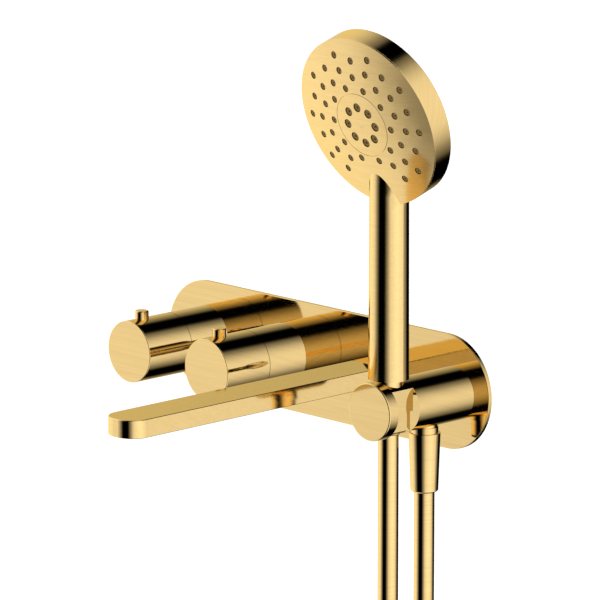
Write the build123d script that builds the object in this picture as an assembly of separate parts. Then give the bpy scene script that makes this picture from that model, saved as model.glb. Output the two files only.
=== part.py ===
from build123d import *
import math
import os

# Wall mounted bath faucet with a thermostatic knob, a flow and diverter knob, a flat spout and a
# handset in a fork. Millimetres. Origin: centre of the wall plate's back, on the finished wall.
# +X is to the right as one faces the wall, -Y points out of the wall, +Z is up.

# ---- Driving dimensions ------------------------------------------------------------------------
PLATE_LENGTH = 320.0
PLATE_HEIGHT = 80.0
PLATE_THICK = 3.0
TEMPERATURE_X = -120.0       # axis of the temperature knob
FLOW_X = -40.0               # axis of the flow and diverter knob
SPOUT_X = 43.0               # middle of the spout
OUTLET_X = 127.4             # axis of the outlet elbow and of the handset fork

KNOB_R = 22.0
KNOB_FRONT = 77.7            # distance of the knob's front from the wall
KNOB_BACK = 37.7
KNOB_WALL = 2.2
SLEEVE_FRONT = 37.3
SLEEVE_WALL = 1.8
PIN_R = 4.8
PIN_TOP = 28.0
PIN_REACH = 65.3             # distance of the knob's pin from the wall

SPOUT_WIDTH = 30.8
SPOUT_THICK = 12.5
SPOUT_REACH = 236.2
SPOUT_TIP_R = 13.0
AERATOR_R = 9.5
AERATOR_REACH = 218.0

ELBOW_R = 18.5
ELBOW_FRONT = 54.9
OUTLET_REACH = 31.5          # distance of the hose outlet from the wall
FORK_FRONT = 76.2
FORK_HALF_WIDTH = 12.0
DISC_R = 19.8
DISC_FRONT = 84.4
HANDSET_REACH = 66.1         # distance of the handset's axis from the wall

BODY_FRONT = 4.0             # front and back of the concealed body, behind the wall's face
BODY_BACK = 43.0
BODY_HALF_HEIGHT = 22.0
BODY_LEFT = -146.0
BODY_RIGHT = 62.0
BOSS_R = 18.9
BOSS_FRONT = 28.0            # how far the cartridge bosses stand out of the wall
CARTRIDGE_R = 14.8
THREAD_R = 9.2               # half-inch thread, taken at its minor radius
CHANNEL_R = 4.2

HANDLE_BOTTOM = 20.5
HANDLE_R_BOTTOM = 13.8
HANDLE_R_TOP = 13.3
HANDLE_TOP = 162.5
HEAD_HEIGHT = 197.7          # height of the head's middle
HEAD_FORWARD = 20.7          # how far the head's middle stands in front of the handle's axis
HEAD_TILT = 17.5             # degrees that the face looks down
HEAD_R = 60.0
HEAD_DEPTH = 16.7
DOME_RISE = 6.0
DOME_R = 300.0
SHELL = 2.0
SEAM = 1.0                   # how far the seam between face and cover lies behind the face's rim
SKIRT = 5.5                  # how far the face's inner skirt reaches behind its rim
HEAD_BACK = 20.6             # how far the cover's middle lies behind the face's rim
BUTTON_R = 22.4
NOZZLE_HOLE_R = 2.5
BUTTON_HOLE_R = 3.2
BUTTON_RING_R = 12.8
NOZZLE_STEP = 36.0
# Rings of nozzles: radius, angle of the first one, and the angles left out beside the handle
NOZZLE_RINGS = (
    (26.6, 0.0, ()),
    (34.0, 18.0, (270.0,)),
    (39.2, 0.0, (252.0, 288.0)),
    (45.4, 18.0, (270.0,)),
    (49.9, 0.0, (252.0, 288.0)),
)

HOSE_R = 7.0
COIL_R = 70.0                # middle of the hose's turns
COIL_Z = -282.0
COIL_PITCH = 14.6
COIL_TURNS = 2.694
LEG_BEND_Z = -160.0
LEG_LEAN = 35.0              # degrees from upright where a leg runs to the coil
OUTLET_NUT_BOTTOM = -63.2
HANDSET_NUT_BOTTOM = -17.5

CLEAR = 0.3
COIL_HALF_WIDTH = COIL_PITCH * COIL_TURNS / 2 + HOSE_R
COIL_Y = -(OUTLET_REACH + HANDSET_REACH) / 2

UP = Align.MIN
MID = Align.CENTER

# ---- Inner and small dimensions ----------------------------------------------------------------
EDGE = 0.5                   # rounding and chamfer of small edges
PLAY = 0.1                   # gap between two pieces that stand in each other
PAST = 1.0                   # how far a cut reaches past the piece

GASKET_OUT = 2.8             # the gasket's outer and inner edge, in from the plate's edge
GASKET_IN = 6.2
GASKET_THICK = 1.2

BODY_ROUND = 6.0
BAR_BACK = 18.0              # shallow bar of the body that runs on to the hose outlet
BAR_LOW = -20.0
BAR_HIGH = -7.0
BAR_WAY_Z = -13.5
BAR_END_R = 6.5
OUTLET_BOSS_R = 13.0
CARTRIDGE_DEPTH = 38.0
PORT_DEPTH = 11.0
SUPPLY_R = 6.0
HOT_Y = 24.0                 # axis of the hot inlet, behind the wall's face
COLD_X = -80.0
COLD_Y = 14.0
COLD_WAY_Y = 12.0
MIXED_R = 4.5
MIXED_Y = 33.0
SPOUT_WAY_Y = 14.0
SPOUT_WAY_Z = 8.0
BAR_WAY_Y = 11.0
OUTLET_DEPTH = 15.0
SPOUT_DEPTH = 16.0

SCREW_X = (-80.0, 10.0)
SCREW_Z = 17.0
SCREW_R = 2.5
SCREW_THREAD_R = 2.1
SCREW_HOLE_R = 2.7
SCREW_HEAD_R = 4.4
SCREW_HEAD = 3.0
SCREW_END = 62.0

UNION_FLAT_R = 12.5
UNION_THREAD = 10.0
UNION_HEX = 6.0
TAIL_R = 10.4
TAIL = 12.0
UNION_BORE_R = 6.6
SEAT_R = 6.4
SEAT_BORE_R = 5.3
SEAT_HOLE_R = 3.6
SEAT_BOTTOM = -9.0
SEAT_TOP = 1.0
SEAT_WALL = -1.0
POPPET_R = 4.4
POPPET_TIP_R = 3.2
POPPET_LOW = -3.6
POPPET_RISE = 2.2
POPPET_STEM_R = 1.4
POPPET_STEM_LOW = -6.6
POPPET_STEM = 3.1
CHECK_SPRING_LOW = -8.8
CHECK_SPRING = (3.0, 0.35, 1.5, 3)      # radius, wire radius, pitch and turns
FILTER_LOW = 7.0
FILTER_TALL = 8.0
FILTER_BORE_R = 5.8
FILTER_FLOOR = 1.0
FILTER_HOLE_R = 0.9
FILTER_ROW_Z = 10.0
FILTER_ROW_STEP = 2.6

HOUSING_BACK = 37.0
HOUSING_CAP = 12.0           # how far in front of the wall the housing's wide bore starts
HOUSING_BASE = 3.0
SPINDLE_HOLE_R = 5.3
DRAIN_R = 5.0
PORT_R = 4.0
PORT_YS = (12.0, 24.0)
TEMPERATURE_BORE_R = 9.0
FLOW_BORE_R = 13.0
NUT_DEEP = 6.0
NUT_BORE_R = 8.2
NUT_KEY_R = 1.5
NUT_KEY_RING = 11.5
NUT_KEY_DEEP = 3.0
SPINDLE_R = 4.8
SPINDLE_FRONT = 60.0
SPLINE_BACK = 46.0
SPLINE_RING = 5.0
SPLINE_R = 0.5
SPLINES = 10
ADAPTER_R = 7.9
ADAPTER_BORE_R = 4.85
STOP_DEEP = 4.0
STOP_BORE_R = 8.4
STOP_HALF = 3.0
STOP_LOW = 14.0
STOP_HIGH = 18.0

WAX_R = 3.8
WAX_FRONT = 6.0
WAX_BACK = 28.0
WAX_COLLAR_R = 5.2
WAX_COLLAR = (19.0, 22.0)
WAX_ROD_R = 1.8
WAX_ROD_FRONT = 1.3
PISTON_R = 8.7
PISTON_BORE_R = 4.2
PISTON = (9.0, 16.0)
RETURN_SPRING_Y = 22.7
RETURN_SPRING = (6.9, 0.6, 2.4, 4)      # radius, wire radius, pitch and turns
CERAMIC_R = 12.6
CERAMIC_THICK = 4.0
FIXED_DISC_Y = 19.6
TURNING_DISC_Y = 15.3
DISC_HOLE_X = 6.5
FIXED_HOLE_R = 3.0
TURNING_HOLE_R = 3.2

KNOB_FACE = 4.0              # how deep the knob's hollow starts behind its front
HUB_R = 11.5
HUB_BORE_R = 8.0
HUB_BORE_FRONT = 61.0
PIN_SHANK_R = 2.4
PIN_HOLE_R = 2.5
PIN_LOW = 15.0
PIN_SHANK = (16.2, 22.5)
GRUB_REACH = 52.0
GRUB_R = 1.9
GRUB_HOLE_R = 2.0
GRUB_FLAT = 1.15
GRUB_SOCKET = 2.5
KNOB_GRUB = (-20.5, -7.9)
FORK_GRUB = (-17.6, -6.1)
FORK_GRUB_REACH = 49.0

SPOUT_EDGE = 0.35
SPOUT_HOLLOW_HALF = 12.4
SPOUT_HOLLOW_END = 7.0
SPOUT_FLOOR = 2.6
SPOUT_ROOF = 2.2
AERATOR_SEAT = 4.0
AERATOR_WALL = 1.4
AERATOR_RECESS = 0.3
AERATOR_TALL = 6.4
KEY_R = 0.9
CORE_LOW = 0.9
CORE_HIGH = 5.4
CORE_STEP = 2.6
CORE_HOLE_R = 1.0
CORE_EDGE = 2.9
ROW_RISE = 0.866             # height of a row of close-packed holes, as a share of their spacing
ADAPTER_THREAD = (3.0, 15.0)
ADAPTER_FLANGE_R = 17.0
ADAPTER_WAY_R = 6.0
SEAL_OUT = 13.0
SEAL_IN = 10.8
SEAL_DEEP = 1.4

OUTLET_WAY_R = 5.0
OUTLET_WAY_FRONT = 36.0
NIPPLE_WAY_R = 4.6
NIPPLE_R = 8.2
NIPPLE_TOP = -9.2
NIPPLE_COLLAR_R = 9.3
NIPPLE_COLLAR = (-22.2, -18.4)
NIPPLE_BOTTOM = -33.0
STUB_R = 6.0
STUB_BACK = 44.5
CONNECTOR_BORE_R = 5.4
CONNECTOR_HALF = 14.5
DISC_ROUND = 0.8
FORK_SEAT_R = (8.8, 9.95)    # the cone that the hose nut rests in, below and above
FORK_NOTCH_X = 9.2
FORK_NOTCH_END = 13.0
FORK_NOTCH_FRONT = 60.6
FORK_NOTCH_Z = (-19.0, -1.5)
REST_PLAY = 0.6

OUTLET_NUT_R = (9.45, 10.8)
OUTLET_NUT_STEP = -23.8
OUTLET_NUT_TOP = -22.4
OUTLET_WASHER_LOW = -34.6
HANDSET_NUT_R = (8.4, 9.55)
HANDSET_NUT_BORE_R = 7.6
HANDSET_NUT_SEAT = 7.0
WASHER_THICK = 1.6
TIE_HALF = 8.0
TIE_THICK = 1.5

FACE_TALL = 12.0             # taller than the dome rises
SKIRT_R = (57.0, 57.8)
SKIRT_RING_R = 58.2
COVER_CHAMFER = 0.9
COVER_CONE_R = 46.0
COVER_CONE = 4.0
COVER_HOLLOW_R = (56.0, 44.0)
COVER_HOLLOW = 2.4
COVER_WALL = 0.4
HANDLE_BORE_R = 11.6
HANDLE_BORE = (14.0, 150.0)  # above the handle's end, and above the plate's middle
INSERT_R = 8.9
INSERT_SEAT_R = 9.0
INSERT_TOP = 34.4
INSERT_TAIL_R = 7.5
INSERT_TAIL = 8.8
INSERT_WAY_R = 4.6
INSERT_CUP_R = 7.05
INSERT_CUP = 29.8
SEAT_HIGH = 60.0
WATER_R = (5.5, 7.0)
WATER_Z = (30.0, 138.0)
MAT_R = 54.0
MAT_HOLE_R = 25.6
MAT_FRONT = 2.1
MAT_BACK = 3.4
MAT_LOW = -8.0
NOZZLE_INSET = 0.5
NOZZLE_PLAY = 0.35
JET_R = 0.55
CHAMBER_R = 56.5
CHAMBER_BORE_R = 53.0
CHAMBER_FLOOR_R = 53.2
CHAMBER_Z = (-12.5, -11.2, -11.0, -9.5, -5.6)
CHAMBER_HOLE_R = 20.0
CHAMBER_JET_R = 1.3
CHAMBER_SCREW_RING = 54.9
CHAMBER_SCREW_R = 1.2
CHAMBER_SCREW_HEAD_R = 1.9
CHAMBER_SCREW_Z = (-14.0, -5.4, -3.8)
BUTTON_LOW = -3.0
BUTTON_LIP_R = 24.0
BUTTON_LIP = (0.2, 2.4)
BUTTON_MAT_R = 18.0
BUTTON_MAT = (-4.6, -3.1)
BUTTON_NOZZLE_LOW = -4.0
BUTTON_NOZZLE_INSET = 0.6
BUTTON_JET_R = 0.8
BUTTON_HOLES = 8
BUTTON_TURN = 2.0
BUTTON_SPRING_LOW = -10.6
BUTTON_SPRING = (10, 0.4, 1.85, 3)      # radius, wire radius, pitch and turns
RIGHT_ANGLE = 90.0
THROUGH = 30.0               # longer than any small hole is deep


# ---- Shape helpers -----------------------------------------------------------------------------
def rod_y(x, z, r, near, far):
    """Round bar along Y from y = near to y = far."""
    plane = Plane(origin=(x, min(near, far), z), x_dir=(1, 0, 0), z_dir=(0, 1, 0))
    return plane * Cylinder(r, abs(far - near), align=(MID, MID, UP))


def rod_z(x, y, r, low, high):
    """Round bar along Z."""
    return Pos(x, y, low) * Cylinder(r, high - low, align=(MID, MID, UP))


def rod_x(y, z, r, left, right):
    """Round bar along X."""
    plane = Plane(origin=(left, y, z), x_dir=(0, 1, 0), z_dir=(1, 0, 0))
    return plane * Cylinder(r, right - left, align=(MID, MID, UP))


def tube_y(x, z, r_out, r_in, near, far):
    """Ring or tube along Y."""
    return rod_y(x, z, r_out, near, far) - rod_y(x, z, r_in, min(near, far) - 1, max(near, far) + 1)


def tube_z(x, y, r_out, r_in, low, high):
    """Ring or tube along Z."""
    return rod_z(x, y, r_out, low, high) - rod_z(x, y, r_in, low - 1, high + 1)


def cone_z(x, y, r_low, r_high, low, high):
    """Upright cone."""
    return Pos(x, y, low) * Cone(r_low, r_high, high - low, align=(MID, MID, UP))


def block(x0, x1, y0, y1, z0, z1):
    """Box between two corners."""
    return Pos(x0, y0, z0) * Box(x1 - x0, y1 - y0, z1 - z0, align=(UP, UP, UP))


def slot_plate(length, height, near, far):
    """Full-round plate in the plane of the wall, from y = -near to y = -far."""
    return Plane.XZ.offset(near) * extrude(SlotOverall(length, height), far - near)


def coil_spring(r, wire_r, pitch, turns):
    """Compression spring that stands on local z = 0."""
    path = Helix(pitch=pitch, height=pitch * turns, radius=r)
    start = Plane(origin=path @ 0, z_dir=path % 0)
    return sweep(start * Circle(wire_r), path=path, is_frenet=True)


# ---- Wall plate and concealed body -------------------------------------------------------------
def wall_plate():
    plate = slot_plate(PLATE_LENGTH, PLATE_HEIGHT, 0, PLATE_THICK)
    rim = plate.faces().sort_by(Axis.Y)[0].outer_wire().edges()
    plate = fillet(rim, EDGE)
    through = PLATE_THICK + PAST
    for x in (TEMPERATURE_X, FLOW_X):
        plate -= rod_y(x, 0, BOSS_R + 1.0, -through, PAST)
    half = SPOUT_WIDTH / 2 + PLAY
    high = SPOUT_THICK / 2 + PLAY
    plate -= block(SPOUT_X - half, SPOUT_X + half, -through, PAST, -high, high)
    plate -= rod_y(OUTLET_X, 0, THREAD_R + 0.6, -through, PAST)
    return plate - gasket_ring(GASKET_OUT - 2 * PLAY, GASKET_IN + 2 * PLAY)


def gasket_ring(inset_out, inset_in):
    outer = slot_plate(PLATE_LENGTH - 2 * inset_out, PLATE_HEIGHT - 2 * inset_out, 0, GASKET_THICK)
    return outer - slot_plate(PLATE_LENGTH - 2 * inset_in, PLATE_HEIGHT - 2 * inset_in, -PAST, 2 * PAST)


def plate_gasket():
    return gasket_ring(GASKET_OUT, GASKET_IN)


def valve_body():
    body = block(BODY_LEFT, BODY_RIGHT, BODY_FRONT, BODY_BACK, -BODY_HALF_HEIGHT, BODY_HALF_HEIGHT)
    body = fillet(body.edges().filter_by(Axis.X), BODY_ROUND)
    body += block(BODY_RIGHT - 4, OUTLET_X, BODY_FRONT, BAR_BACK, BAR_LOW, BAR_HIGH)
    body += rod_y(OUTLET_X, 0, OUTLET_BOSS_R, BODY_FRONT, BAR_BACK)
    body += rod_y(OUTLET_X, BAR_WAY_Z, BAR_END_R, BODY_FRONT, BAR_BACK)
    for x in (TEMPERATURE_X, FLOW_X):
        body += rod_y(x, 0, BOSS_R, -BOSS_FRONT, BODY_FRONT + 1)
        body -= rod_y(x, 0, CARTRIDGE_R + PLAY, -BOSS_FRONT - PAST, CARTRIDGE_DEPTH)
    body -= rod_x(HOT_Y, 0, THREAD_R + PLAY, BODY_LEFT - PAST, BODY_LEFT + PORT_DEPTH)
    body -= rod_x(HOT_Y, 0, SUPPLY_R, BODY_LEFT, TEMPERATURE_X)
    body -= rod_z(COLD_X, COLD_Y, THREAD_R + PLAY, -BODY_HALF_HEIGHT - PAST, -BODY_HALF_HEIGHT + PORT_DEPTH)
    body -= rod_z(COLD_X, COLD_Y, SUPPLY_R, -BODY_HALF_HEIGHT, 0)
    body -= rod_x(COLD_WAY_Y, 0, SUPPLY_R, TEMPERATURE_X, COLD_X)
    body -= rod_x(MIXED_Y, 0, MIXED_R, TEMPERATURE_X, FLOW_X)
    body -= rod_x(SPOUT_WAY_Y, SPOUT_WAY_Z, CHANNEL_R, FLOW_X, SPOUT_X)
    body -= rod_y(SPOUT_X, 0, THREAD_R + PLAY, 0, SPOUT_DEPTH)
    body -= rod_x(BAR_WAY_Y, BAR_WAY_Z, CHANNEL_R, FLOW_X, OUTLET_X)
    body -= rod_z(OUTLET_X, BAR_WAY_Y, CHANNEL_R, BAR_WAY_Z, 0)
    body -= rod_y(OUTLET_X, 0, THREAD_R + PLAY, 0, OUTLET_DEPTH)
    for x in SCREW_X:
        body -= rod_y(x, SCREW_Z, SCREW_HOLE_R, 0, BODY_BACK + PAST)
    return body


def wall_screws():
    screws = []
    for x in SCREW_X:
        screw = rod_y(x, SCREW_Z, SCREW_R, BODY_FRONT, BODY_BACK + 1)
        screw += rod_y(x, SCREW_Z, SCREW_HEAD_R, BODY_FRONT - SCREW_HEAD, BODY_FRONT)
        screws.append(screw + rod_y(x, SCREW_Z, SCREW_THREAD_R, BODY_BACK + 1, SCREW_END))
    return Compound(children=screws)


# ---- Inlets ------------------------------------------------------------------------------------
def inlet_local():
    """Union along local +Z: thread into the body, hexagon, and half-inch tail for the supply pipe."""
    shape = drum(THREAD_R, -UNION_THREAD, 0) + extrude(RegularPolygon(UNION_FLAT_R, 6), UNION_HEX)
    shape += drum(TAIL_R, UNION_HEX, UNION_HEX + TAIL)
    return shape - drum(UNION_BORE_R, -UNION_THREAD - PAST, UNION_HEX + TAIL + PAST)


def seat_local():
    """Sleeve of a non-return valve; its front wall is the seat."""
    sleeve = drum(SEAT_R, SEAT_BOTTOM, SEAT_TOP) - drum(SEAT_BORE_R, SEAT_BOTTOM - PAST, SEAT_WALL)
    return sleeve - drum(SEAT_HOLE_R, SEAT_WALL - PAST, SEAT_TOP + PAST)


def poppet_local():
    head = Pos(0, 0, POPPET_LOW) * Cone(POPPET_TIP_R, POPPET_R, POPPET_RISE, align=(MID, MID, UP))
    return head + drum(POPPET_STEM_R, POPPET_STEM_LOW, POPPET_STEM_LOW + POPPET_STEM)


def check_spring_local():
    return Pos(0, 0, CHECK_SPRING_LOW) * coil_spring(*CHECK_SPRING)


def filter_local():
    cup = drum(SEAT_R, FILTER_LOW, FILTER_LOW + FILTER_TALL)
    cup -= drum(FILTER_BORE_R, FILTER_LOW + FILTER_FLOOR, FILTER_LOW + FILTER_TALL + PAST)
    for row in range(2):
        for i in range(8):
            hole = Rot(0, 0, 45 * i) * Rot(0, RIGHT_ANGLE, 0) * drum(FILTER_HOLE_R, 0, SEAT_R + PAST)
            cup -= Pos(0, 0, FILTER_ROW_Z + FILTER_ROW_STEP * row) * hole
    return cup


HOT_PORT = Plane(origin=(BODY_LEFT, HOT_Y, 0), x_dir=(0, 1, 0), z_dir=(-1, 0, 0))
COLD_PORT = Plane(origin=(COLD_X, COLD_Y, -BODY_HALF_HEIGHT), x_dir=(1, 0, 0), z_dir=(0, 0, -1))


# ---- Cartridges --------------------------------------------------------------------------------
def cartridge_housing(x, bore_r):
    shell = rod_y(x, 0, CARTRIDGE_R, -BOSS_FRONT + NUT_DEEP, HOUSING_BACK)
    shell -= rod_y(x, 0, bore_r, -HOUSING_CAP, HOUSING_BACK - HOUSING_BASE)
    shell -= rod_y(x, 0, SPINDLE_HOLE_R, -BOSS_FRONT, 0)
    shell -= rod_y(x, 0, DRAIN_R, HOUSING_BACK - HOUSING_BASE - PAST, HOUSING_BACK + PAST)
    for y in PORT_YS:
        shell -= rod_x(y, 0, PORT_R, x - CARTRIDGE_R - PAST, x + CARTRIDGE_R + PAST)
    return shell


def cartridge_nut(x):
    nut = tube_y(x, 0, CARTRIDGE_R, NUT_BORE_R, -BOSS_FRONT, -BOSS_FRONT + NUT_DEEP)
    for i in range(4):
        turn = math.radians(RIGHT_ANGLE * (i + 0.5))
        key_x = x + NUT_KEY_RING * math.cos(turn)
        key_z = NUT_KEY_RING * math.sin(turn)
        nut -= rod_y(key_x, key_z, NUT_KEY_R, -BOSS_FRONT - PAST, -BOSS_FRONT + NUT_KEY_DEEP)
    return nut


def spindle(x, back):
    shaft = rod_y(x, 0, SPINDLE_R, -SPINDLE_FRONT, back)
    for i in range(SPLINES):
        turn = math.tau * i / SPLINES
        groove_x = x + SPLINE_RING * math.cos(turn)
        groove_z = SPLINE_RING * math.sin(turn)
        shaft -= rod_y(groove_x, groove_z, SPLINE_R, -SPINDLE_FRONT - PAST, -SPLINE_BACK)
    return shaft


def spline_adapter(x):
    return tube_y(x, 0, ADAPTER_R, ADAPTER_BORE_R, -SPINDLE_FRONT, -SPLINE_BACK)


def stop_ring(x):
    front = -BOSS_FRONT - STOP_DEEP
    ring = tube_y(x, 0, BOSS_R - 0.4, STOP_BORE_R, front, -BOSS_FRONT)
    return ring + block(x - STOP_HALF, x + STOP_HALF, front - STOP_DEEP, front + EDGE, STOP_LOW, STOP_HIGH)


def wax_element():
    body = rod_y(TEMPERATURE_X, 0, WAX_R, WAX_FRONT, WAX_BACK)
    body += rod_y(TEMPERATURE_X, 0, WAX_COLLAR_R, *WAX_COLLAR)
    return body + rod_y(TEMPERATURE_X, 0, WAX_ROD_R, WAX_ROD_FRONT, WAX_FRONT)


def thermostat_piston():
    return tube_y(TEMPERATURE_X, 0, PISTON_R, PISTON_BORE_R, *PISTON)


def return_spring():
    base = Plane(origin=(TEMPERATURE_X, RETURN_SPRING_Y, 0), x_dir=(1, 0, 0), z_dir=(0, 1, 0))
    return base * coil_spring(*RETURN_SPRING)


def fixed_ceramic_disc():
    back = FIXED_DISC_Y + CERAMIC_THICK
    disc = rod_y(FLOW_X, 0, CERAMIC_R, FIXED_DISC_Y, back)
    for side in (-1, 1):
        disc -= rod_y(FLOW_X + DISC_HOLE_X * side, 0, FIXED_HOLE_R, FIXED_DISC_Y - PAST, back + PAST)
    return disc


def turning_ceramic_disc():
    back = TURNING_DISC_Y + CERAMIC_THICK
    disc = rod_y(FLOW_X, 0, CERAMIC_R, TURNING_DISC_Y, back)
    return disc - rod_y(FLOW_X + DISC_HOLE_X, 0, TURNING_HOLE_R, TURNING_DISC_Y - PAST, back + PAST)


# ---- Sleeves and knobs -------------------------------------------------------------------------
def sleeve(x):
    return tube_y(x, 0, KNOB_R, KNOB_R - SLEEVE_WALL, -SLEEVE_FRONT, -PLATE_THICK)


def knob(x):
    shell = rod_y(x, 0, KNOB_R, -KNOB_FRONT, -KNOB_BACK)
    shell = fillet(shell.faces().sort_by(Axis.Y)[0].edges(), EDGE)
    shell -= rod_y(x, 0, KNOB_R - KNOB_WALL, -KNOB_FRONT + KNOB_FACE, -KNOB_BACK + PAST)
    shell += rod_y(x, 0, HUB_R, -KNOB_FRONT + KNOB_FACE - EDGE, -SPLINE_BACK)
    shell -= rod_y(x, 0, HUB_BORE_R, -HUB_BORE_FRONT, -SPLINE_BACK + PAST)
    shell -= rod_z(x, -PIN_REACH, PIN_HOLE_R, PIN_LOW, KNOB_R + PAST)
    return shell - rod_z(x, -GRUB_REACH, GRUB_HOLE_R, -KNOB_R - PAST, -SPINDLE_R)


def knob_pin(x):
    head = rod_z(x, -PIN_REACH, PIN_R, PIN_LOW, PIN_TOP)
    head = chamfer(head.faces().sort_by(Axis.Z)[-1].edges(), EDGE)
    head -= rod_y(x, 0, KNOB_R, -KNOB_FRONT - PAST, -KNOB_BACK)
    return head + rod_z(x, -PIN_REACH, PIN_SHANK_R, *PIN_SHANK)


def knob_grub_screw(x):
    return grub_screw(x, GRUB_REACH, *KNOB_GRUB)


def grub_screw(x, reach, low, high):
    """Upright grub screw with a hexagon socket in its lower end."""
    socket = Pos(x, -reach, low - PLAY) * extrude(RegularPolygon(GRUB_FLAT, 6), GRUB_SOCKET)
    return rod_z(x, -reach, GRUB_R, low, high) - socket


# ---- Spout -------------------------------------------------------------------------------------
def spout_outline(width, front, tip_r):
    half = width / 2
    with_tip = Pos(SPOUT_X, -front / 2) * Rectangle(width, front)
    corners = with_tip.vertices().group_by(Axis.Y)[0]
    return fillet(corners, min(tip_r, half - 0.05))


def spout():
    low = -SPOUT_THICK / 2
    high = SPOUT_THICK / 2
    half = SPOUT_WIDTH / 2
    shell = Pos(0, 0, low) * extrude(spout_outline(SPOUT_WIDTH, SPOUT_REACH, SPOUT_TIP_R), SPOUT_THICK)
    rims = shell.edges().filter_by(Axis.Z, reverse=True)
    rims = rims.filter_by_position(Axis.Y, -SPOUT_REACH - PAST, -PAST)
    shell = chamfer(rims, SPOUT_EDGE)
    shell += block(SPOUT_X - half, SPOUT_X + half, 0, 1, low, high)
    left, right = SPOUT_X - SPOUT_HOLLOW_HALF, SPOUT_X + SPOUT_HOLLOW_HALF
    end = -SPOUT_REACH + SPOUT_HOLLOW_END
    shell -= block(left, right, end, 1 + PAST, low + SPOUT_FLOOR, high - SPOUT_ROOF)
    return shell - rod_z(SPOUT_X, -AERATOR_REACH, AERATOR_R, low - PAST, low + AERATOR_SEAT)


def aerator_housing():
    low = -SPOUT_THICK / 2
    inner = AERATOR_R - AERATOR_WALL
    ring = tube_z(
        SPOUT_X, -AERATOR_REACH, AERATOR_R - PLAY / 2, inner, low + AERATOR_RECESS, low + AERATOR_TALL
    )
    for i in range(4):
        turn = math.radians(RIGHT_ANGLE * i)
        x = SPOUT_X + (AERATOR_R - AERATOR_WALL / 2) * math.cos(turn)
        y = -AERATOR_REACH + (AERATOR_R - AERATOR_WALL / 2) * math.sin(turn)
        ring -= rod_z(x, y, KEY_R, low, low + AERATOR_WALL)
    return ring


def flow_straightener():
    low = -SPOUT_THICK / 2
    outer = AERATOR_R - AERATOR_WALL - PLAY / 2
    core = rod_z(SPOUT_X, -AERATOR_REACH, outer, low + CORE_LOW, low + CORE_HIGH)
    for row in range(-3, 4):
        for col in range(-3, 4):
            dx = CORE_STEP * (col + 0.5 * (row % 2))
            dy = CORE_STEP * ROW_RISE * row
            if math.hypot(dx, dy) < AERATOR_R - CORE_EDGE:
                core -= rod_z(SPOUT_X + dx, -AERATOR_REACH + dy, CORE_HOLE_R, low, low + CORE_HIGH + PAST)
    return core


def spout_adapter():
    stub = rod_y(SPOUT_X, 0, THREAD_R, *ADAPTER_THREAD) + rod_y(SPOUT_X, 0, ADAPTER_FLANGE_R, 1.0, BODY_FRONT)
    stub -= rod_y(SPOUT_X, 0, ADAPTER_WAY_R, 0, ADAPTER_THREAD[1] + PAST)
    return stub - tube_y(SPOUT_X, 0, SEAL_OUT, SEAL_IN, BODY_FRONT - SEAL_DEEP, BODY_FRONT + PAST)


def spout_seal():
    return tube_y(SPOUT_X, 0, SEAL_OUT - PLAY, SEAL_IN + PLAY, BODY_FRONT - SEAL_DEEP + PLAY, BODY_FRONT)


# ---- Outlet elbow and handset fork -------------------------------------------------------------
def outlet_elbow():
    elbow = rod_y(OUTLET_X, 0, ELBOW_R, -ELBOW_FRONT, -PLATE_THICK)
    elbow -= rod_y(OUTLET_X, 0, THREAD_R + PLAY, -OUTLET_DEPTH, 0)
    elbow -= rod_y(OUTLET_X, 0, OUTLET_WAY_R, -OUTLET_WAY_FRONT, -OUTLET_DEPTH + PAST)
    elbow -= rod_z(OUTLET_X, -OUTLET_REACH, NIPPLE_WAY_R, -ELBOW_R - PAST, 0)
    elbow -= rod_z(OUTLET_X, -OUTLET_REACH, NIPPLE_R + PLAY, -ELBOW_R - PAST, NIPPLE_TOP + 2 * PLAY)
    elbow -= rod_y(OUTLET_X, 0, STUB_R + PLAY, -ELBOW_FRONT - PAST, -STUB_BACK + EDGE)
    return elbow - rod_z(OUTLET_X, -FORK_GRUB_REACH, GRUB_HOLE_R, -ELBOW_R - PAST, -NIPPLE_WAY_R)


def elbow_nipple():
    return tube_y(OUTLET_X, 0, THREAD_R, CONNECTOR_BORE_R, -CONNECTOR_HALF, CONNECTOR_HALF)


def outlet_nipple():
    x, y = OUTLET_X, -OUTLET_REACH
    shape = rod_z(x, y, NIPPLE_R, NIPPLE_COLLAR[1], NIPPLE_TOP) + rod_z(x, y, NIPPLE_COLLAR_R, *NIPPLE_COLLAR)
    shape -= rod_y(x, 0, ELBOW_R, -ELBOW_FRONT, 0) - rod_z(x, y, NIPPLE_R, -ELBOW_R - PAST, 0)
    shape += rod_z(x, y, NIPPLE_R, NIPPLE_BOTTOM, NIPPLE_COLLAR[0] + PLAY)
    return shape - rod_z(x, y, NIPPLE_WAY_R, NIPPLE_BOTTOM - PAST, NIPPLE_TOP + PAST)


def fork_grub_screw():
    return grub_screw(OUTLET_X, FORK_GRUB_REACH, *FORK_GRUB)


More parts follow.
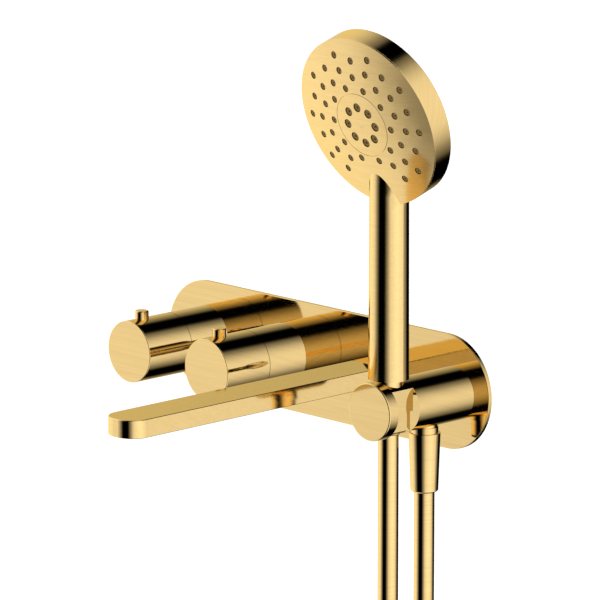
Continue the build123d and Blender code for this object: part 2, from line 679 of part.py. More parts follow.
def handset_fork():
    neck = rod_y(OUTLET_X, 0, ELBOW_R, -FORK_FRONT, -ELBOW_FRONT)
    left, right = OUTLET_X - FORK_HALF_WIDTH, OUTLET_X + FORK_HALF_WIDTH
    neck &= block(left, right, -DISC_FRONT, 0, -THROUGH, THROUGH)
    disc = rod_y(OUTLET_X, 0, DISC_R, -DISC_FRONT, -FORK_FRONT)
    disc = fillet(disc.faces().sort_by(Axis.Y)[0].edges(), DISC_ROUND)
    fork = neck + disc + rod_y(OUTLET_X, 0, STUB_R, -ELBOW_FRONT - 1, -STUB_BACK)
    fork -= cone_z(OUTLET_X, -HANDSET_REACH, *FORK_SEAT_R, HANDSET_NUT_BOTTOM - 2 * PAST, ELBOW_R + PAST)
    slot = HOSE_R + REST_PLAY
    front, back = -HANDSET_REACH - slot, -HANDSET_REACH + slot
    fork -= block(OUTLET_X - THROUGH, OUTLET_X, front, back, -THROUGH, THROUGH)
    notch_left, notch_right = OUTLET_X + FORK_NOTCH_X, OUTLET_X + FORK_NOTCH_END
    return fork - block(notch_left, notch_right, -FORK_NOTCH_FRONT, -ELBOW_FRONT + 0.01, *FORK_NOTCH_Z)


# ---- Hose --------------------------------------------------------------------------------------
def outlet_hose_nut():
    x, y = OUTLET_X, -OUTLET_REACH
    low_r, high_r = OUTLET_NUT_R
    nut = cone_z(x, y, low_r, high_r, OUTLET_NUT_BOTTOM, OUTLET_NUT_STEP)
    nut += rod_z(x, y, high_r, OUTLET_NUT_STEP, OUTLET_NUT_TOP)
    nut = chamfer(nut.faces().sort_by(Axis.Z)[0].edges(), 0.8)
    nut -= rod_z(x, y, NIPPLE_R + PLAY, OUTLET_WASHER_LOW, OUTLET_NUT_TOP + PAST)
    return nut - rod_z(x, y, OUTLET_WAY_R, OUTLET_NUT_BOTTOM - PAST, OUTLET_WASHER_LOW + PAST)


def handset_hose_nut():
    x, y = OUTLET_X, -HANDSET_REACH
    low_r, high_r = HANDSET_NUT_R
    nut = cone_z(x, y, low_r, high_r, HANDSET_NUT_BOTTOM, ELBOW_R)
    nut += rod_z(x, y, high_r, ELBOW_R, HANDLE_BOTTOM)
    nut = chamfer(nut.faces().sort_by(Axis.Z)[0].edges(), 0.6)
    nut -= rod_z(x, y, HANDSET_NUT_BORE_R, HANDSET_NUT_SEAT, HANDLE_BOTTOM + PAST)
    return nut - rod_z(x, y, OUTLET_WAY_R, HANDSET_NUT_BOTTOM - PAST, HANDSET_NUT_SEAT + PAST)


def outlet_hose_washer():
    high = OUTLET_WASHER_LOW + WASHER_THICK
    return tube_z(OUTLET_X, -OUTLET_REACH, NIPPLE_R - 2 * PLAY, OUTLET_WAY_R, OUTLET_WASHER_LOW, high)


def handset_hose_washer():
    outer = HANDSET_NUT_BORE_R - 2 * PLAY
    high = HANDSET_NUT_SEAT + WASHER_THICK
    return tube_z(OUTLET_X, -HANDSET_REACH, outer, INSERT_WAY_R, HANDSET_NUT_SEAT, high)


def coil_solid():
    """Outer shape of the wound turns: a thick ring that stands in a plane beside the wall."""
    near, far = COIL_Y - COIL_HALF_WIDTH, COIL_Y + COIL_HALF_WIDTH
    return tube_y(OUTLET_X, COIL_Z, COIL_R + HOSE_R, COIL_R - HOSE_R, near, far)


def leg_route(reach, side, top):
    """Route of one leg: straight down, then leaning out to meet the coil along its tangent."""
    lean = math.radians(LEG_LEAN)
    end_x = OUTLET_X + side * COIL_R * math.cos(lean)
    end_z = COIL_Z + COIL_R * math.sin(lean)
    end_y = COIL_Y + side * -(COIL_PITCH * COIL_TURNS / 2)
    return [(OUTLET_X, -reach, top), (OUTLET_X, -reach, LEG_BEND_Z), (end_x, end_y, end_z)]


def hose_leg(name, reach, side, top):
    points = [Vector(*p) for p in leg_route(reach, side, top)]
    runs = [(b - a).length for a, b in zip(points, points[1:])]
    turn = (points[1] - points[0]).get_angle(points[2] - points[1])
    radius = 0.45 * min(runs) / math.tan(math.radians(turn / 2))
    path = FilletPolyline(*points, radius=radius)
    start = Plane(origin=points[0], x_dir=(1, 0, 0), z_dir=(0, 0, -1))
    tube = sweep(start * Circle(HOSE_R), path=path)
    section = math.pi * HOSE_R**2
    print(name, "runs", [round(r, 1) for r in runs], "bend radius", round(radius, 1))
    print(name, "length", round(path.length, 1), "volume", round(tube.volume))
    print(name, "section times length", round(section * path.length))
    return tube


def hose_tie():
    """Strap round the bundle at the coil's lowest point."""
    near, far = COIL_Y - COIL_HALF_WIDTH, COIL_Y + COIL_HALF_WIDTH
    low, high = COIL_Z - COIL_R - HOSE_R, COIL_Z - COIL_R + HOSE_R
    left, right = OUTLET_X - TIE_HALF, OUTLET_X + TIE_HALF
    outer = block(left, right, near - TIE_THICK, far + TIE_THICK, low - TIE_THICK, high + TIE_THICK)
    return outer - block(left - PAST, right + PAST, near, far, low, high) - coil_solid()


# ---- Handset -----------------------------------------------------------------------------------
TILT = math.radians(HEAD_TILT)
FACE = Plane(
    origin=(OUTLET_X, -HANDSET_REACH - HEAD_FORWARD, HEAD_HEIGHT),
    x_dir=(1, 0, 0),
    z_dir=(0, -math.cos(TILT), -math.sin(TILT)),
)


def dome(inset):
    """Ball whose surface lies inset behind the face, in the face's own frame."""
    return Pos(0, 0, DOME_RISE - DOME_R) * Sphere(DOME_R - inset)


def drum(r, low, high):
    return Pos(0, 0, low) * Cylinder(r, high - low, align=(MID, MID, UP))


def ring_places():
    places = []
    for radius, first, left_out in NOZZLE_RINGS:
        for i in range(10):
            angle = first + NOZZLE_STEP * i
            if angle not in left_out:
                turn = math.radians(angle)
                places.append((radius * math.cos(turn), radius * math.sin(turn)))
    return places


def button_places():
    angles = [math.radians(45 * i + BUTTON_TURN) for i in range(BUTTON_HOLES)]
    return [(BUTTON_RING_R * math.cos(a), BUTTON_RING_R * math.sin(a)) for a in angles]


def screw_places():
    angles = [math.radians(RIGHT_ANGLE * (i + 0.5)) for i in range(4)]
    return [(CHAMBER_SCREW_RING * math.cos(a), CHAMBER_SCREW_RING * math.sin(a)) for a in angles]


def handle_outer(grow=0.0):
    stick = cone_z(
        OUTLET_X, -HANDSET_REACH, HANDLE_R_BOTTOM + grow, HANDLE_R_TOP + grow, HANDLE_BOTTOM, HANDLE_TOP
    )
    return stick & (FACE * drum(HEAD_HEIGHT + HEAD_R, -HEAD_BACK, HEAD_HEIGHT + HEAD_R))


def handset_front_shell():
    inner = HEAD_R - SHELL
    skirt_in, skirt_out = SKIRT_R
    face = drum(HEAD_R, -SEAM, FACE_TALL) & dome(0)
    face -= drum(inner, -SEAM - PAST, FACE_TALL) & dome(SHELL)
    face += drum(skirt_out, -SKIRT, -SEAM / 2) - drum(skirt_in, -SKIRT - PAST, 0)
    face += drum(SKIRT_RING_R, -SEAM, -SEAM / 2) - drum(skirt_in, -SKIRT, 0)
    for x, y in ring_places():
        face -= Pos(x, y, 0) * Cylinder(NOZZLE_HOLE_R, THROUGH)
    face -= Cylinder(BUTTON_R + NOZZLE_PLAY, THROUGH)
    above, top = HANDLE_BORE
    handle = handle_outer() - rod_z(OUTLET_X, -HANDSET_REACH, HANDLE_BORE_R, HANDLE_BOTTOM + above, top)
    handle -= rod_z(OUTLET_X, -HANDSET_REACH, INSERT_SEAT_R, HANDLE_BOTTOM - PAST, SEAT_HIGH)
    handle -= FACE * (drum(inner, -HEAD_DEPTH + COVER_WALL, FACE_TALL) & dome(SHELL))
    return FACE * face + handle


def handset_back_cover():
    behind = Pos(0, 0, -HEAD_DEPTH) * Rot(180, 0, 0)
    cup = drum(HEAD_R, -HEAD_DEPTH, -SEAM - PLAY)
    cup = chamfer(cup.faces().sort_by(Axis.Z)[0].edges(), COVER_CHAMFER)
    cup += behind * Cone(HEAD_R - 1.0, COVER_CONE_R, COVER_CONE, align=(MID, MID, UP))
    cup -= drum(HEAD_R - SHELL, -HEAD_DEPTH + COVER_WALL, 0)
    hollow = Cone(*COVER_HOLLOW_R, COVER_HOLLOW, align=(MID, MID, UP))
    cup -= Pos(0, 0, COVER_WALL + 0.01) * behind * hollow
    return FACE * cup - handle_outer(PLAY)


def nozzle_mat():
    mat = (drum(MAT_R, MAT_LOW, FACE_TALL) & dome(MAT_FRONT)) - dome(MAT_BACK)
    mat -= drum(MAT_HOLE_R, MAT_LOW - PAST, FACE_TALL + PAST)
    for x, y in ring_places():
        mat += Pos(x, y, 0) * drum(NOZZLE_HOLE_R - NOZZLE_PLAY, -PAST, FACE_TALL) & dome(NOZZLE_INSET)
    for x, y in ring_places():
        mat -= Pos(x, y, 0) * Cylinder(JET_R, THROUGH)
    return FACE * mat


def spray_chamber():
    low, floor_low, way_low, floor_high, high = CHAMBER_Z
    disc = drum(CHAMBER_R, low, high) - drum(CHAMBER_BORE_R, way_low, high + PLAY)
    disc += drum(CHAMBER_FLOOR_R, floor_low, floor_high)
    disc -= drum(CHAMBER_HOLE_R, way_low, 0)
    for x, y in ring_places():
        disc -= Pos(x, y, way_low) * Cylinder(CHAMBER_JET_R, 8)
    for x, y in screw_places():
        disc -= Pos(x, y, 0) * drum(CHAMBER_SCREW_R + PLAY / 2, CHAMBER_SCREW_Z[0] - PAST, 0)
    return FACE * disc - handle_outer(PLAY)


def mode_button():
    cap = (drum(BUTTON_R, BUTTON_LOW, FACE_TALL) & dome(0)) + drum(BUTTON_LIP_R, *BUTTON_LIP)
    for x, y in button_places():
        cap -= Pos(x, y, 0) * Cylinder(BUTTON_HOLE_R, THROUGH)
    return FACE * cap


def button_nozzle_mat():
    mat = drum(BUTTON_MAT_R, *BUTTON_MAT)
    for x, y in button_places():
        nozzle = drum(BUTTON_HOLE_R - CLEAR, BUTTON_NOZZLE_LOW, FACE_TALL)
        mat += Pos(x, y, 0) * nozzle & dome(BUTTON_NOZZLE_INSET)
    for x, y in button_places():
        mat -= Pos(x, y, 0) * Cylinder(BUTTON_JET_R, THROUGH)
    return FACE * mat


def button_spring():
    return FACE * Pos(0, 0, BUTTON_SPRING_LOW) * coil_spring(*BUTTON_SPRING)


def water_tube():
    bore_r, outer_r = WATER_R
    return tube_z(OUTLET_X, -HANDSET_REACH, outer_r, bore_r, *WATER_Z)


def thread_insert():
    x, y = OUTLET_X, -HANDSET_REACH
    shape = rod_z(x, y, INSERT_R, HANDLE_BOTTOM + PLAY, INSERT_TOP)
    shape += rod_z(x, y, INSERT_TAIL_R, INSERT_TAIL, HANDLE_BOTTOM + 1)
    shape -= rod_z(x, y, INSERT_WAY_R, HANDSET_NUT_SEAT, INSERT_CUP + PLAY)
    return shape - rod_z(x, y, INSERT_CUP_R, INSERT_CUP, INSERT_TOP + PAST)


def chamber_screws():
    low, neck, high = CHAMBER_SCREW_Z
    screw = drum(CHAMBER_SCREW_R, low, neck) + drum(CHAMBER_SCREW_HEAD_R, neck, high)
    return FACE * Compound(children=[Pos(x, y, 0) * screw for x, y in screw_places()])


# ---- Export ------------------------------------------------------------------------------------
def main():
    os.makedirs("parts", exist_ok=True)
    temperature, flow = TEMPERATURE_X, FLOW_X
    nodes = {
        "wall_plate": wall_plate(),
        "plate_gasket": plate_gasket(),
        "valve_body": valve_body(),
        "wall_screws": wall_screws(),
        "temperature_cartridge_housing": cartridge_housing(temperature, TEMPERATURE_BORE_R),
        "temperature_cartridge_nut": cartridge_nut(temperature),
        "temperature_spindle": spindle(temperature, 0),
        "temperature_spline_adapter": spline_adapter(temperature),
        "temperature_stop_ring": stop_ring(temperature),
        "wax_element": wax_element(),
        "thermostat_piston": thermostat_piston(),
        "thermostat_return_spring": return_spring(),
        "flow_cartridge_housing": cartridge_housing(flow, FLOW_BORE_R),
        "flow_cartridge_nut": cartridge_nut(flow),
        "flow_spindle": spindle(flow, TURNING_DISC_Y),
        "flow_spline_adapter": spline_adapter(flow),
        "fixed_ceramic_disc": fixed_ceramic_disc(),
        "turning_ceramic_disc": turning_ceramic_disc(),
        "temperature_sleeve": sleeve(temperature),
        "flow_sleeve": sleeve(flow),
        "temperature_knob": knob(temperature),
        "flow_knob": knob(flow),
        "temperature_knob_pin": knob_pin(temperature),
        "flow_knob_pin": knob_pin(flow),
        "temperature_grub_screw": knob_grub_screw(temperature),
        "flow_grub_screw": knob_grub_screw(flow),
        "spout": spout(),
        "aerator_housing": aerator_housing(),
        "flow_straightener": flow_straightener(),
        "spout_adapter": spout_adapter(),
        "spout_seal": spout_seal(),
        "outlet_elbow": outlet_elbow(),
        "elbow_nipple": elbow_nipple(),
        "outlet_nipple": outlet_nipple(),
        "fork_grub_screw": fork_grub_screw(),
        "handset_fork": handset_fork(),
        "outlet_hose_nut": outlet_hose_nut(),
        "handset_hose_nut": handset_hose_nut(),
        "outlet_hose_washer": outlet_hose_washer(),
        "handset_hose_washer": handset_hose_washer(),
        "hose_outlet_leg": hose_leg("outlet leg", OUTLET_REACH, -1, OUTLET_NUT_BOTTOM),
        "hose_handset_leg": hose_leg("handset leg", HANDSET_REACH, 1, HANDSET_NUT_BOTTOM),
        "hose_coil": coil_solid(),
        "hose_tie": hose_tie(),
        "handset_front_shell": handset_front_shell(),
        "handset_back_cover": handset_back_cover(),
        "nozzle_mat": nozzle_mat(),
        "spray_chamber": spray_chamber(),
        "chamber_screws": chamber_screws(),
        "mode_button": mode_button(),
        "button_nozzle_mat": button_nozzle_mat(),
        "button_spring": button_spring(),
        "handset_water_tube": water_tube(),
        "handset_thread_insert": thread_insert(),
    }
    ports = {"hot": HOT_PORT, "cold": COLD_PORT}
    for side, port in ports.items():
        nodes[side + "_check_valve_poppet"] = port * poppet_local()
    pairs = {
        "inlet_unions": inlet_local(),
        "check_valve_seats": seat_local(),
        "check_valve_springs": check_spring_local(),
        "inlet_filters": filter_local(),
    }
    for name, shape in pairs.items():
        nodes[name] = Compound(children=[port * shape for port in ports.values()])
    for name, shape in nodes.items():
        export_step(shape, "parts/" + name + ".step")


if __name__ == "__main__":
    main()
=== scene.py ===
"""Looks of a wall mounted bath faucet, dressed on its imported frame.

Each sub-assembly is a class that holds its sizes in metres and has methods that model its new pieces
and dress the nodes that it keeps. Everything is in the frame's own axes: +X to the right along the
wall, -Y out of the wall, +Z up, with the origin in the middle of the wall plate's back.
"""

import logging
import math
from dataclasses import dataclass, field
from enum import Enum

import bpy
from mathutils import Euler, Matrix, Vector


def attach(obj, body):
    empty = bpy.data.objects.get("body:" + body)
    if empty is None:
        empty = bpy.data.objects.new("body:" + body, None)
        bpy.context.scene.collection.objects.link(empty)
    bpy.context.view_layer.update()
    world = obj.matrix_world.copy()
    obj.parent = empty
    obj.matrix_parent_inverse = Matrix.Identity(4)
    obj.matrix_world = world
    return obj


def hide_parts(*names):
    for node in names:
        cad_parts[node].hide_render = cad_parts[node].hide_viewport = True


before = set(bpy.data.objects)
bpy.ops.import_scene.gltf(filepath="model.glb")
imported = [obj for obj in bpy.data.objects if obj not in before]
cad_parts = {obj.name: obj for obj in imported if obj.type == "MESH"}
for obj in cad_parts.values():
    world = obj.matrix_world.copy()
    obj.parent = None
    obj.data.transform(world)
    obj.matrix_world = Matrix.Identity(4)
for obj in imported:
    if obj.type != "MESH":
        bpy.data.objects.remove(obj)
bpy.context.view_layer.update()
log = logging.getLogger("bath_faucet")
logging.basicConfig(level=logging.INFO, format="%(name)s: %(message)s")

Colour = tuple[float, float, float]
Socket = bpy.types.NodeSocket

GOLD: Colour = (0.85, 0.61, 0.26)
GOLD_EDGE: Colour = (0.92, 0.77, 0.43)     # keeps the gold's own colour where it is seen at a low angle
HEAD_TILT = math.radians(17.5)
SLANT_TURN = Euler((math.radians(-30.0), 0.0, math.radians(12.0)))     # the hairlines' axes on the spout
FACING_ALONG = 0.9                             # how nearly a face must look along an axis to face that way
FRONT_FROM, FRONT_WHOLLY = 0.90, 0.94          # where the sides' finish gives way to the front's

ZINC_STEEL: Colour = (0.60, 0.60, 0.61)
SPRING_STEEL: Colour = (0.60, 0.60, 0.62)
SCREW_STEEL: Colour = (0.42, 0.42, 0.43)
BRASS: Colour = (0.72, 0.50, 0.20)
UNION_BRASS: Colour = (0.70, 0.49, 0.20)
CAST_BRASS: Colour = (0.55, 0.40, 0.17)
COPPER: Colour = (0.78, 0.36, 0.20)
CERAMIC: Colour = (0.88, 0.86, 0.82)
ACETAL: Colour = (0.82, 0.82, 0.80)
VALVE_WHITE: Colour = (0.80, 0.80, 0.78)
STOP_RING_WHITE: Colour = (0.80, 0.79, 0.76)
STRAIGHTENER_WHITE: Colour = (0.78, 0.78, 0.77)
AERATOR_GREY: Colour = (0.30, 0.31, 0.33)
WATERWAY_GREY: Colour = (0.30, 0.31, 0.32)
FILTER_BLUE: Colour = (0.05, 0.16, 0.36)
FOAM_GREY: Colour = (0.16, 0.16, 0.17)
SEAL_BLACK: Colour = (0.03, 0.03, 0.03)
WASHER_BLACK: Colour = (0.04, 0.04, 0.04)
YARN_BLACK: Colour = (0.035, 0.035, 0.038)
NOZZLE_OLIVE: Colour = (0.20, 0.12, 0.02)


class Lay(Enum):
    """Which way the fine lines of a brushed or turned finish run."""

    ALONG = "along x"
    LEVEL = "level rings about an upright axis"
    TWIST = "slow twist about an axis square to the wall"
    SLANT = "slanting down to the wall"
    HEAD_FACE = "along x on the tilted head"
    HEAD_SIDE = "round the tilted head's edge"


# ---- Shader helpers ----------------------------------------------------------------------------
class Shade:
    """A material's node tree, with short ways to add and join nodes."""

    def __init__(self, name: str) -> None:
        """Starts a material with a Principled shader.

        Args:
            name: the material's name.
        """
        self.material = bpy.data.materials.new(name)
        self.material.use_nodes = True
        self.tree = self.material.node_tree
        self.shader = next(n for n in self.tree.nodes if n.type == "BSDF_PRINCIPLED")
        self.coordinates = self.tree.nodes.new("ShaderNodeTexCoord")
        self.place = self.coordinates.outputs["Object"]

    def join(self, source: Socket | float | tuple, target: Socket) -> None:
        """Links a socket to a target, or sets the target's own value.

        Args:
            source: the socket to link, or the value to set.
            target: the socket that takes it.
        """
        if isinstance(source, bpy.types.NodeSocket):
            self.tree.links.new(source, target)
        else:
            target.default_value = source

    def math(self, operation: str, a: Socket | float, b: Socket | float = 0.0) -> Socket:
        """Adds one Math node.

        Args:
            operation: what the node works out.
            a: its first value.
            b: its second value, if it has one.

        Returns:
            The node's result.
        """
        node = self.tree.nodes.new("ShaderNodeMath")
        node.operation = operation
        self.join(a, node.inputs[0])
        self.join(b, node.inputs[1])
        return node.outputs[0]

    def axis(self, vector: Socket, name: str) -> Socket:
        """Takes one part of a vector.

        Args:
            vector: the vector.
            name: "X", "Y" or "Z".

        Returns:
            The part.
        """
        node = self.tree.nodes.new("ShaderNodeSeparateXYZ")
        self.join(vector, node.inputs[0])
        return node.outputs[name]

    def step(self, value: Socket, low: float, high: float, start: float = 0.0, end: float = 1.0) -> Socket:
        """Turns smoothly from start to end as the value goes from low to high.

        Args:
            value: the value that is followed.
            low: where the change starts.
            high: where it ends.
            start: the result below low.
            end: the result above high.

        Returns:
            The result.
        """
        node = self.tree.nodes.new("ShaderNodeMapRange")
        node.interpolation_type = "SMOOTHSTEP"
        self.join(value, node.inputs["Value"])
        for name, number in (("From Min", low), ("From Max", high), ("To Min", start), ("To Max", end)):
            node.inputs[name].default_value = number
        return node.outputs["Result"]

    def mix(self, factor: Socket | float, a: Socket | float, b: Socket | float) -> Socket:
        """Blends two numbers.

        Args:
            factor: 0 for the first number and 1 for the second.
            a: the first number.
            b: the second number.

        Returns:
            The blended number.
        """
        node = self.tree.nodes.new("ShaderNodeMix")
        node.data_type = "FLOAT"
        self.join(factor, node.inputs[0])
        self.join(a, node.inputs[2])
        self.join(b, node.inputs[3])
        return node.outputs[0]

    def tint(self, factor: Socket, low: Colour, high: Colour) -> Socket:
        """Blends two colours.

        Args:
            factor: 0 for the first colour and 1 for the second.
            low: the first colour.
            high: the second colour.

        Returns:
            The blended colour.
        """
        node = self.tree.nodes.new("ShaderNodeMix")
        node.data_type = "RGBA"
        self.join(factor, node.inputs[0])
        node.inputs[6].default_value = (*low, 1.0)
        node.inputs[7].default_value = (*high, 1.0)
        return node.outputs[2]

    def stretched(self, place: Socket, turn: Euler, fineness: Vector) -> Socket:
        """Turns the pattern's own axes and sets how fine it is along each of them.

        Args:
            place: the coordinates to start from.
            turn: the pattern's axes, as a rotation of the object's axes.
            fineness: how many features to the metre along each of the pattern's axes.

        Returns:
            The pattern's coordinates.
        """
        node = self.tree.nodes.new("ShaderNodeMapping")
        node.vector_type = "TEXTURE"
        self.join(place, node.inputs["Vector"])
        node.inputs["Rotation"].default_value = turn
        node.inputs["Scale"].default_value = [1.0 / f for f in fineness]
        return node.outputs["Vector"]

    def noise(self, place: Socket, detail: float = 2.0, rough: float = 0.5, scale: float = 1.0) -> Socket:
        """Adds a noise texture.

        Args:
            place: the coordinates.
            detail: how many finer layers it has.
            rough: how strong the finer layers are.
            scale: features to the metre.

        Returns:
            The noise, from 0 to 1.
        """
        node = self.tree.nodes.new("ShaderNodeTexNoise")
        self.join(place, node.inputs["Vector"])
        node.inputs["Scale"].default_value = scale
        node.inputs["Detail"].default_value = detail
        node.inputs["Roughness"].default_value = rough
        return node.outputs[0]

    def bump(self, height: Socket, distance: float, strength: float = 1.0) -> None:
        """Raises the surface.

        Args:
            height: the height, from 0 to 1.
            distance: the greatest height, in metres.
            strength: how strongly it shows.
        """
        node = self.tree.nodes.new("ShaderNodeBump")
        self.join(height, node.inputs["Height"])
        node.inputs["Distance"].default_value = distance
        node.inputs["Strength"].default_value = strength
        self.join(node.outputs[0], self.shader.inputs["Normal"])

    def set(self, **values: float | Socket | tuple) -> None:
        """Sets the shader's sockets.

        Args:
            values: each socket's value by its name, with _ for a space.
        """
        for name, value in values.items():
            socket = self.shader.inputs[name.replace("_", " ")]
            self.join((*value, 1.0) if isinstance(value, tuple) else value, socket)


# ---- Finishes ----------------------------------------------------------------------------------
@dataclass(frozen=True)
class BrushedMetal:
    """Metal with fine hairlines that follow how each face was brushed.

    Attributes:
        name: the material's name.
        side: the lay on the sides.
        front: the lay on faces that look out of the wall, if it differs.
        centre: a point on the piece's axis.
        colour: the metal's colour.
        roughness: how soft its reflections are.
        slope: how far the twist turns for each metre, in radians.
        contrast: how much the hairlines change the colour.
        fine: fine hairlines to the metre.
        coarse: coarse hairlines to the metre.
        long: features to the metre along a hairline.
        coarse_share: the share of the coarse hairlines.
        streak_dulling: how much duller the lightest hairlines are.
        cloud_dulling: how much duller the cloudiest patches are.
        clouds: cloudy patches to the metre.
        hair_depth: depth of the hairlines, in metres.
    """

    name: str
    side: Lay
    front: Lay | None = None
    centre: tuple[float, float, float] = (0.0, 0.0, 0.0)
    colour: Colour = GOLD
    roughness: float = 0.07
    slope: float = 18.0
    contrast: float = 0.05
    fine: float = 1500.0
    coarse: float = 420.0
    long: float = 16.0
    coarse_share: float = 0.45
    streak_dulling: float = 0.03
    cloud_dulling: float = 0.01
    clouds: float = 14.0
    hair_depth: float = 0.00001

    def axes(self, shade: Shade, lay: Lay) -> tuple[Socket, Euler, Vector]:
        """Finds the coordinates, turn and fineness pattern of one lay.

        Args:
            shade: the material that is being built.
            lay: the direction of the hairlines.

        Returns:
            The coordinates, the turn of the pattern's axes, and 1 along each axis that is fine.
        """
        plain = Euler((0.0, 0.0, 0.0))
        tilted = Euler((math.pi / 2 - HEAD_TILT, 0.0, 0.0))
        if lay is Lay.LEVEL:
            return shade.place, plain, Vector((0, 0, 1))
        if lay is Lay.SLANT:
            return shade.place, SLANT_TURN, Vector((1, 0, 1))
        if lay is Lay.HEAD_FACE:
            return shade.place, tilted, Vector((0, 1, 1))
        if lay is Lay.HEAD_SIDE:
            return shade.place, tilted, Vector((0, 0, 1))
        if lay is Lay.TWIST:
            node = shade.tree.nodes.new("ShaderNodeVectorRotate")
            node.rotation_type = "Y_AXIS"
            shade.join(shade.place, node.inputs["Vector"])
            node.inputs["Center"].default_value = self.centre
            angle = shade.math("MULTIPLY", shade.axis(shade.place, "Y"), -self.slope)
            shade.join(angle, node.inputs["Angle"])
            return node.outputs[0], plain, Vector((1, 0, 1))
        return shade.place, plain, Vector((0, 1, 1))

    def hairlines(self, shade: Shade, lay: Lay, fine: float, detail: float) -> Socket:
        """Adds the hairlines of one lay and one fineness.

        Args:
            shade: the material that is being built.
            lay: the direction of the hairlines.
            fine: hairlines to the metre.
            detail: how many finer layers they have.

        Returns:
            The hairlines, from 0 to 1.
        """
        place, turn, across = self.axes(shade, lay)
        fineness = Vector([fine if part else self.long for part in across])
        return shade.noise(shade.stretched(place, turn, fineness), detail)

    def hair(self, shade: Shade, lay: Lay) -> Socket:
        """Adds fine and coarse hairlines of one lay together.

        Args:
            shade: the material that is being built.
            lay: the direction of the hairlines.

        Returns:
            The hairlines, from 0 to 1.
        """
        fine = self.hairlines(shade, lay, self.fine, 2.0)
        coarse = self.hairlines(shade, lay, self.coarse, 3.0)
        return shade.mix(self.coarse_share, fine, coarse)

    def choose(self, shade: Shade, side: Socket, front: Socket) -> Socket:
        """Takes the front's hairlines where the surface looks out of the wall.

        Args:
            shade: the material that is being built.
            side: the hairlines of the sides.
            front: the hairlines of the front.

        Returns:
            The hairlines of both.
        """
        geometry = shade.tree.nodes.new("ShaderNodeNewGeometry")
        facing = shade.math("ABSOLUTE", shade.axis(geometry.outputs["Normal"], "Y"))
        return shade.mix(shade.step(facing, FRONT_FROM, FRONT_WHOLLY), side, front)

    def material(self) -> bpy.types.Material:
        """Builds the material.

        Returns:
            The finished material.
        """
        shade = Shade(self.name)
        hair = self.hair(shade, self.side)
        if self.front:
            hair = self.choose(shade, hair, self.hair(shade, self.front))
        level = shade.step(hair, 0.30, 0.70)
        dark = tuple(c * (1.0 - self.contrast) for c in self.colour)
        light = tuple(min(1.0, c * (1.0 + self.contrast)) for c in self.colour)
        cloud = shade.math("MULTIPLY", shade.noise(shade.place, 2.0, 0.5, self.clouds), self.cloud_dulling)
        streak = shade.math("MULTIPLY", level, self.streak_dulling)
        rough = shade.math("ADD", shade.math("ADD", streak, self.roughness - 0.02), cloud)
        shade.set(Base_Color=shade.tint(level, dark, light), Metallic=1.0, Roughness=rough)
        shade.set(Specular_Tint=GOLD_EDGE)
        shade.bump(hair, self.hair_depth, 0.5)
        return shade.material


@dataclass(frozen=True)
class TurnedMetal:
    """Plain machined metal with faint tool rings and a cloudy oxide.

    Attributes:
        name: the material's name.
        colour: the metal's colour.
        roughness: how soft its reflections are.
        rings: tool rings to the metre along the axis.
        upright: whether the axis stands upright, and not square to the wall.
        along: features to the metre along a ring.
        clouds: patches of oxide to the metre.
        ring_depth: depth of the rings, in metres.
    """

    name: str
    colour: Colour
    roughness: float = 0.28
    rings: float = 1600.0
    upright: bool = False
    along: float = 6.0
    clouds: float = 90.0
    ring_depth: float = 0.00003

    def material(self) -> bpy.types.Material:
        """Builds the material.

        Returns:
            The finished material.
        """
        shade = Shade(self.name)
        across = (self.along, self.rings)
        fineness = Vector((self.along, *across) if self.upright else (*across, self.along))
        rings = shade.noise(shade.stretched(shade.place, Euler(), fineness), 1.0)
        cloud = shade.noise(shade.place, 4.0, 0.6, self.clouds)
        level = shade.mix(0.6, rings, cloud)
        dark = tuple(c * 0.82 for c in self.colour)
        rough = shade.step(cloud, 0.3, 0.7, self.roughness - 0.06, self.roughness + 0.08)
        tint = shade.tint(shade.step(level, 0.35, 0.65), dark, self.colour)
        shade.set(Base_Color=tint, Metallic=1.0, Roughness=rough)
        shade.bump(rings, self.ring_depth, 0.6)
        return shade.material


@dataclass(frozen=True)
class CastMetal:
    """Sand cast metal: a grainy skin with shallow pits.

    Attributes:
        name: the material's name.
        colour: the metal's colour.
        grain: grains of the sand to the metre.
        patches: darker patches to the metre.
        depth: depth of the grain, in metres.
    """

    name: str
    colour: Colour
    grain: float = 900.0
    patches: float = 45.0
    depth: float = 0.0003

    def material(self) -> bpy.types.Material:
        """Builds the material.

        Returns:
            The finished material.
        """
        shade = Shade(self.name)
        grain = shade.noise(shade.place, 5.0, 0.65, self.grain)
        patch = shade.noise(shade.place, 3.0, 0.55, self.patches)
        dark = tuple(c * 0.68 for c in self.colour)
        level = shade.step(shade.mix(0.5, grain, patch), 0.36, 0.62)
        rough = shade.step(patch, 0.3, 0.7, 0.42, 0.62)
        shade.set(Base_Color=shade.tint(level, dark, self.colour), Metallic=1.0, Roughness=rough)
        shade.bump(grain, self.depth, 0.8)
        return shade.material


@dataclass(frozen=True)
class Moulded:
    """Moulded plastic, rubber or foam with a fine grain.

    Attributes:
        name: the material's name.
        colour: the material's colour.
        roughness: how dull it is.
        grain: features of the grain to the metre.
        depth: depth of the grain, in metres.
        variation: how much darker its darkest patches are.
        patches: darker patches to the metre.
    """

    name: str
    colour: Colour
    roughness: float = 0.45
    grain: float = 1500.0
    depth: float = 0.00003
    variation: float = 0.10
    patches: float = 60.0

    def material(self) -> bpy.types.Material:
        """Builds the material.

        Returns:
            The finished material.
        """
        shade = Shade(self.name)
        grain = shade.noise(shade.place, 3.0, 0.6, self.grain)
        patch = shade.noise(shade.place, 2.0, 0.5, self.patches)
        dark = tuple(c * (1.0 - self.variation) for c in self.colour)
        level = shade.step(shade.mix(0.5, grain, patch), 0.35, 0.65)
        rough = shade.step(grain, 0.3, 0.7, self.roughness - 0.05, self.roughness + 0.07)
        shade.set(Base_Color=shade.tint(level, dark, self.colour), Roughness=rough)
        shade.bump(grain, self.depth, 0.7)
        return shade.material


